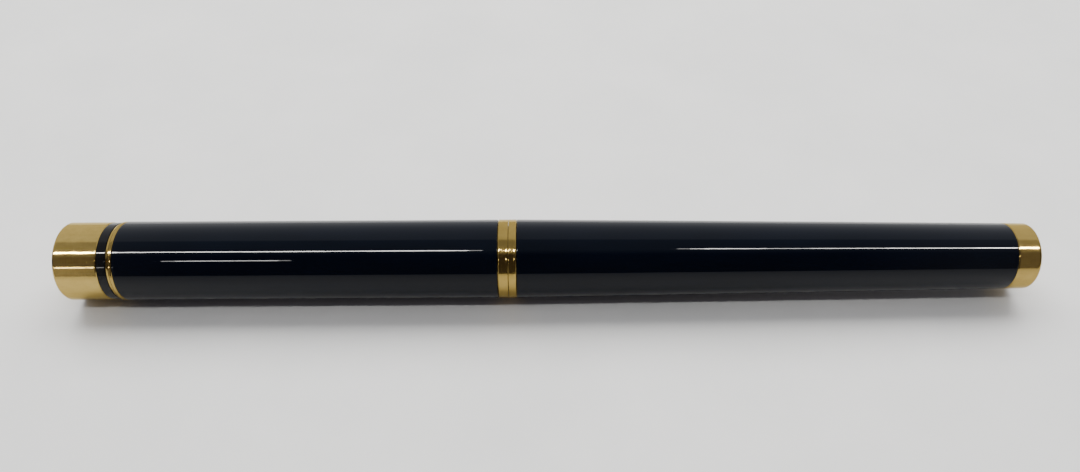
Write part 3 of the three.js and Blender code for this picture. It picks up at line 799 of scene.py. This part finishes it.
def build_refill():
    """Refill: tube, end plug, nose, steel tip and ball, each turned about the axis."""
    x0, x1 = start("refill_tube"), end("refill_tube")
    tube = turned("refill_shell", sleeve(x0, x1, REFILL_BORE, REFILL_R, 0.08))
    fit_out(tube, "refill", "refill_tube", REFILL_STEEL)

    plug0, plug1 = start("refill_plug"), end("refill_plug")
    plug = rounded([(plug0, 0), (plug0, REFILL_BORE - SEAT, 0.2), (x1 + SEAT, REFILL_BORE - SEAT),
                    (x1 + SEAT, REFILL_R, 0.06), (plug1, REFILL_R, 0.3), (plug1, 0)])
    fit_out(turned("refill_end_plug", plug), "refill", "refill_plug", WHITE_PLASTIC)

    nose0, nose1, tip_end = start("refill_nose"), end("refill_nose"), end("tip_cone")
    ink_bore, ball_feed = 0.6, 0.21
    nose = rounded([(nose0, TIP_R + SEAT), (nose0, TIP_R + 0.5, 0.15), (x0 - SEAT, REFILL_R - SEAT, 0.1),
                    (x0 - SEAT, REFILL_BORE - SEAT), (nose1, REFILL_BORE - SEAT, 0.1), (nose1, ink_bore),
                    (tip_end + SEAT, ink_bore), (tip_end + SEAT, TIP_R + SEAT)])
    fit_out(turned("refill_holder", nose), "refill", "refill_nose", WHITE_PLASTIC)

    lip, socket = start("tip_cone"), BALL_R + 0.05
    centre = start("writing_ball") + BALL_R
    floor = centre + socket
    tip = rounded([(lip, BALL_R - 0.005, 0.01), (lip, socket + 0.06, 0.04), (lip + 0.55, socket + 0.2, 0.2),
                   (lip + 2.6, TIP_R, 0.5), (tip_end, TIP_R, 0.05), (tip_end, ink_bore),
                   (floor + 0.35, ink_bore), (floor + 0.35, ball_feed), (floor, ball_feed),
                   (centre + 0.1, socket, 0.05), (centre, socket, 0.05)])
    fit_out(turned("steel_tip", tip, sides=96), "refill", "tip_cone", STEEL)

    a = np.linspace(0, math.pi, 33)
    ball = np.stack((centre - BALL_R * np.cos(a), BALL_R * np.sin(a)), axis=-1)
    ball[[0, -1], 1] = 0
    fit_out(turned("ball", ball, sides=64), "ball", "writing_ball", CARBIDE)


def finish_hidden_pieces():
    """Pieces inside the closed pen keep their CAD shape and get their own finish."""
    finishes = {"cap_end_plug": BRASS, "tail_plug": BRASS, "cap_washer": STEEL, "cap_screw": STEEL,
                "ink_reservoir": FIBRE, "feed_rod": FIBRE}
    for node, material in finishes.items():
        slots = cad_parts[node].data.materials
        slots.clear()
        slots.append(material)


# ---------------------------------------------------------------- camera, table and light

LENS, LENS_RISE = 27.03, 0.01154          # focal length in millimetres; rise as a share of the width
CAMERA_HEIGHT = math.radians(44)          # how far above the table the camera looks from
AXIS_YAW, AXIS_ROLL = math.radians(0.67), math.radians(-0.32)     # the pen's slant in its view
AIM_FROM_SPLIT = 0.00456                  # metres from the split to the point aimed at
AIM_DISTANCE, AIM_DROP = 0.11925, 0.0123  # metres to that point, and its slope below the lens


def build_camera():
    """Camera above and in front of the pen, placed so that the axis lies as seen.

    The pen's axis is known in the camera's own right, down and forward directions. World up is the
    sum of the image's upward direction and the direction back to the camera, both square to the
    axis, weighted by the cosine and the sine of the camera's height. The aim is a point on the axis
    a little past the split, straight ahead of the lens and slightly below its centre.
    """
    axis = np.array((math.cos(AXIS_YAW) * math.cos(AXIS_ROLL), math.sin(AXIS_ROLL), math.sin(AXIS_YAW)))
    axis /= np.linalg.norm(axis)
    back = np.array((0.0, 0.0, -1.0))
    back -= axis * (back @ axis)
    back /= np.linalg.norm(back)
    upward = np.cross(back, axis)
    up = math.cos(CAMERA_HEIGHT) * upward + math.sin(CAMERA_HEIGHT) * back
    away = math.sin(CAMERA_HEIGHT) * upward - math.cos(CAMERA_HEIGHT) * back
    basis = np.stack((axis, away, up), axis=1)
    aim_x = (end("cap_lip_band") + start("barrel_band")) / 2 * MM + AIM_FROM_SPLIT
    aim = AIM_DISTANCE * np.array((0.0, AIM_DROP, 1.0)) - basis @ (aim_x, 0, 0)
    right, down, forward = basis
    place = -basis.T @ aim
    camera = bpy.data.objects.new("camera", bpy.data.cameras.new("camera"))
    turn = np.stack((right, -down, -forward), axis=1)
    camera.matrix_world = Matrix.Translation(place) @ Matrix(turn.tolist()).to_4x4()
    camera.data.sensor_width = 36.0
    camera.data.lens = LENS
    camera.data.shift_y = LENS_RISE
    camera.data.clip_start, camera.data.clip_end = 0.005, 20
    bpy.context.scene.collection.objects.link(camera)
    bpy.context.scene.camera = camera


def build_table():
    """The table: a large pale, faintly mottled sheet with a dull sheen, just under the pen."""
    half, level = 2.5, CAD_BOUNDS[0].z - 0.00001
    corners = [(x, y, level) for x, y in ((-half, -half), (half, -half), (half, half), (-half, half))]
    table = mesh_object("table", np.array(corners), [[0, 1, 2, 3]])
    material, w = finish("pale_table", Specular_IOR_Level=0.45)
    w.colour(w.noise((0.05, 0.05, 0.05), 4), (0.74, 0.745, 0.735), (0.80, 0.80, 0.79))
    w.roughness(w.spread(w.noise((0.6, 0.6, 0.6), 3), 0.36, 0.5))
    table.data.materials.append(material)


def colour_ramp(nodes, stops):
    """A ramp node through the given (position, colour) stops."""
    ramp = nodes.new("ShaderNodeValToRGB")
    elements = ramp.color_ramp.elements
    while len(elements) < len(stops):
        elements.new(0.5)
    for element, (position, colour) in zip(elements, stops):
        element.position = position
        element.color = (*colour, 1)
    return ramp


# The room round the pen: the angle in degrees and the light that comes from it.
ROOM_STOPS = [
    (0, (0.09, 0.08, 0.088)), (56, (0.065, 0.056, 0.07)), (70, (0.37, 0.38, 0.42)), (100, (0.42, 0.43, 0.46)),
    (104, (0.91, 0.93, 0.96)), (135, (1.0, 1.01, 1.03)), (180, (1.08, 1.08, 1.07)),
]
# The light added towards the pen's ends: the share of the direction along the pen, and the light.
SIDE_STOPS = [(0.40, (0, 0, 0)), (0.51, (0.20, 0.195, 0.2)), (0.62, (0.20, 0.195, 0.2)), (0.85, (0, 0, 0))]


def build_room():
    """The room's own light, by direction: bright behind the pen, dimmer overhead, dark in front.

    A direction's angle is measured in the plane across the pen, from the horizon on the camera's
    side (0), over the top (90 degrees) to the horizon behind (180 degrees). Half way towards both
    ends of the pen the room is a little lighter, by the direction's share along the pen. Past the
    table's far edge the camera sees a plain pale backdrop.
    """
    world = bpy.data.worlds.new("room")
    bpy.context.scene.world = world
    world.use_nodes = True
    tree = world.node_tree
    nodes, links = tree.nodes, tree.links
    place = nodes.new("ShaderNodeTexCoord")
    split = nodes.new("ShaderNodeSeparateXYZ")
    links.new(place.outputs["Generated"], split.inputs[0])

    angle = worked(tree, "ARCTAN2", split.outputs["Z"], worked(tree, "MULTIPLY", split.outputs["Y"], -1))
    turn = worked(tree, "DIVIDE", angle, math.pi)
    ramp = colour_ramp(nodes, [(degrees / 180, colour) for degrees, colour in ROOM_STOPS])
    links.new(turn, ramp.inputs["Fac"])
    aside = colour_ramp(nodes, SIDE_STOPS)
    links.new(worked(tree, "ABSOLUTE", split.outputs["X"]), aside.inputs["Fac"])
    mix = nodes.new("ShaderNodeMix")
    mix.data_type = "RGBA"
    mix.blend_type = "ADD"
    mix.inputs["Factor"].default_value = 1.0
    links.new(ramp.outputs["Color"], mix.inputs["A"])
    links.new(aside.outputs["Color"], mix.inputs["B"])
    seen = nodes.new("ShaderNodeLightPath")
    backdrop = nodes.new("ShaderNodeMix")
    backdrop.data_type = "RGBA"
    links.new(seen.outputs["Is Camera Ray"], backdrop.inputs["Factor"])
    links.new(mix.outputs["Result"], backdrop.inputs["A"])
    backdrop.inputs["B"].default_value = (1.0, 1.0, 0.99, 1)
    links.new(backdrop.outputs["Result"], nodes["Background"].inputs["Color"])
    nodes["Background"].inputs["Strength"].default_value = 1.0


LAMP_COLOUR = (1.0, 0.985, 0.96)


def lamp(name, angle, slopes, width, radiance, distance=0.6, shine=True, spill=True):
    """A rectangular lamp parallel to the pen, facing it from the given angle over the table in degrees.

    slopes are the sideways slopes of the sight lines, mirrored in the pen, that meet its two ends.
    Its width and its distance from the pen are in metres. shine lets it be seen in glossy surfaces,
    and spill lets it light dull ones.
    """
    eye = bpy.context.scene.camera.matrix_world.translation
    reach = distance + AIM_DISTANCE
    low, high = (eye.x + reach * s for s in slopes)
    light = bpy.data.lights.new(name, "AREA")
    light.shape = "RECTANGLE"
    light.size, light.size_y = high - low, width
    light.energy = radiance * math.pi * (high - low) * width
    light.color = LAMP_COLOUR
    stand = bpy.data.objects.new(name, light)
    turn = math.radians(angle)
    stand.location = ((low + high) / 2, -distance * math.cos(turn), distance * math.sin(turn))
    stand.rotation_euler = (math.pi / 2 - turn, 0, 0)
    stand.visible_glossy = shine
    stand.visible_diffuse = spill
    bpy.context.scene.collection.objects.link(stand)


# Each line: the lamp's angle over the table, the two slopes it runs between, and its brightness.
LINES = [
    (68.5, -0.66, -0.5, 210), (68.5, -0.5, -0.075, 140), (68.5, -0.075, -0.058, 28),
    (71.5, 0.198, 0.214, 25), (71.5, 0.214, 0.232, 70), (71.5, 0.232, 0.31, 130),
    (71.5, 0.31, 0.365, 60), (71.5, 0.365, 0.46, 105), (71.5, 0.46, 0.575, 150), (71.5, 0.575, 0.68, 270),
    (42.7, -0.4455, -0.43, 30), (42.7, -0.43, -0.305, 62), (42.7, -0.305, -0.29, 20),
    (25.3, -0.68, -0.515, 24),
]


def build_lamps():
    """The lamps: two light the table, and narrow ones draw the fine white lines in the lacquer.

    The last is a dim, broad board low in front, past the crown's end.
    """
    lamp("soft_box", 124, (-0.62, 0.62), 0.36, 6.3, distance=0.5, shine=False)
    lamp("ceiling_row", 68.5, (-0.6, 0.6), 0.028, 18.0, distance=0.65, shine=False)
    for number, (angle, first, last, radiance) in enumerate(LINES):
        lamp(f"white_line_{number}", angle, (first, last), 0.018, radiance, spill=False)
    lamp("pale_board", 12.5, (-0.75, -0.515), 0.25, 0.36, spill=False)


def main():
    """Builds the pen piece by piece, and what it is seen with."""
    build_camera()
    build_crown()
    build_spacer()
    build_crown_ring()
    build_cap_tube()
    build_lip_band()
    build_inner_cap()
    build_clip()
    build_grip()
    build_grip_ring()
    build_nozzle()
    build_nipple()
    build_seal_and_snap_ring()
    build_barrel_tube()
    build_barrel_band()
    build_bush()
    build_tail()
    build_spring()
    build_refill()
    finish_hidden_pieces()
    build_table()
    build_room()
    build_lamps()


main()
